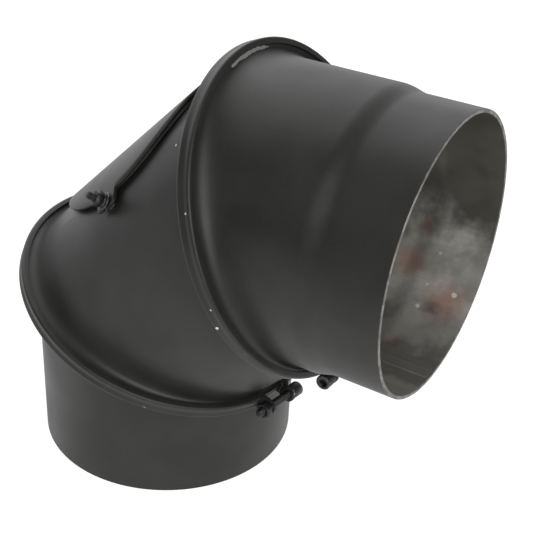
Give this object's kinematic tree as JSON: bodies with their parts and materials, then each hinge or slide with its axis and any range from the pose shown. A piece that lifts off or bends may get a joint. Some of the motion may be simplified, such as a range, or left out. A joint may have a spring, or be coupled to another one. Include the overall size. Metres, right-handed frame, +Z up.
{
  "type": "flue elbow",
  "caption": "Swivelling mitred stovepipe elbow with clamp-ring joints, a drawn-down outlet end and a lift-off inspection cover in its heel.",
  "frame": {"origin": "on the ground plane under the middle of the bounding box, with the elbow standing on its lower pipe end", "axes": "+Z is up along the lower pipe's axis, +X points out of the upper pipe end, and XZ is the plane of the bend"},
  "size_m": [0.2542, 0.18, 0.2543],
  "materials": {
    "stove_paint": "matt heat-resisting black paint on mild steel sheet",
    "blackened_steel": "blackened",
    "seal_fibre": "pressed heat-resisting fibre"
  },
  "bodies": {
    "lower_pipe": {"lower_segment": "stove_paint", "lower_joint_seal": "seal_fibre"},
    "middle_pipe": {"middle_segment": "stove_paint", "upper_joint_seal": "seal_fibre", "cover_gasket": "seal_fibre", "front_cover_stud": "blackened_steel", "back_cover_stud": "blackened_steel"},
    "upper_pipe": {"upper_segment": "stove_paint"},
    "lower_clamp": {"lower_clamp_ring": "stove_paint", "lower_clamp_nut": "blackened_steel"},
    "upper_clamp": {"upper_clamp_ring": "stove_paint", "upper_clamp_nut": "blackened_steel"},
    "lower_screw": {"lower_clamp_screw": "blackened_steel"},
    "upper_screw": {"upper_clamp_screw": "blackened_steel"},
    "cover": {"inspection_cover": "stove_paint"},
    "front_fixing": {"front_washer": "blackened_steel", "front_spring_washer": "blackened_steel"},
    "front_nut": {"front_cover_nut": "blackened_steel"},
    "back_fixing": {"back_washer": "blackened_steel", "back_spring_washer": "blackened_steel"},
    "back_nut": {"back_cover_nut": "blackened_steel"}
  },
  "joints": [
    {"name": "lower_swivel", "type": "hinge", "parent": "lower_pipe", "child": "middle_pipe", "pos_m": [-0.04288, 0, 0.088], "axis": [0.3827, 0, 0.9239], "continuous": true},
    {"name": "upper_swivel", "type": "hinge", "parent": "middle_pipe", "child": "upper_pipe", "pos_m": [0.03914, 0, 0.17002], "axis": [0.9239, 0, 0.3827], "continuous": true},
    {"name": "lower_clamp_turn", "type": "hinge", "parent": "lower_pipe", "child": "lower_clamp", "pos_m": [-0.04288, 0, 0.088], "axis": [0.3827, 0, 0.9239], "continuous": true},
    {"name": "upper_clamp_turn", "type": "hinge", "parent": "middle_pipe", "child": "upper_clamp", "pos_m": [0.03914, 0, 0.17002], "axis": [0.9239, 0, 0.3827], "continuous": true},
    {"name": "lower_screw_turn", "type": "hinge", "parent": "lower_clamp", "child": "lower_screw", "pos_m": [0.04471, -0.0011, 0.05172], "axis": [0.111, 0.9928, -0.046], "continuous": true},
    {"name": "upper_screw_turn", "type": "hinge", "parent": "upper_clamp", "child": "upper_screw", "pos_m": [0.07511, -0.01244, 0.08318], "axis": [-0.0087, -0.9997, 0.021], "continuous": true},
    {"name": "cover_lift", "type": "slide", "parent": "middle_pipe", "child": "cover", "axis": [-0.7071, 0, 0.7071], "range_m": [0, 0.05]},
    {"name": "front_fixing_lift", "type": "slide", "parent": "middle_pipe", "child": "front_fixing", "axis": [-0.5134, -0.6877, 0.5134], "range_m": [0, 0.05]},
    {"name": "back_fixing_lift", "type": "slide", "parent": "middle_pipe", "child": "back_fixing", "axis": [-0.5134, 0.6877, 0.5134], "range_m": [0, 0.05]},
    {"name": "front_nut_turn", "type": "hinge", "parent": "front_fixing", "child": "front_nut", "pos_m": [-0.04653, -0.05983, 0.17367], "axis": [-0.5134, -0.6877, 0.5134], "continuous": true},
    {"name": "back_nut_turn", "type": "hinge", "parent": "back_fixing", "child": "back_nut", "pos_m": [-0.04653, 0.05983, 0.17367], "axis": [-0.5134, 0.6877, 0.5134], "continuous": true}
  ],
  "couplings": [
    {"joint": "front_fixing_lift", "follows": "cover_lift", "ratio": 1},
    {"joint": "back_fixing_lift", "follows": "cover_lift", "ratio": 1}
  ]
}
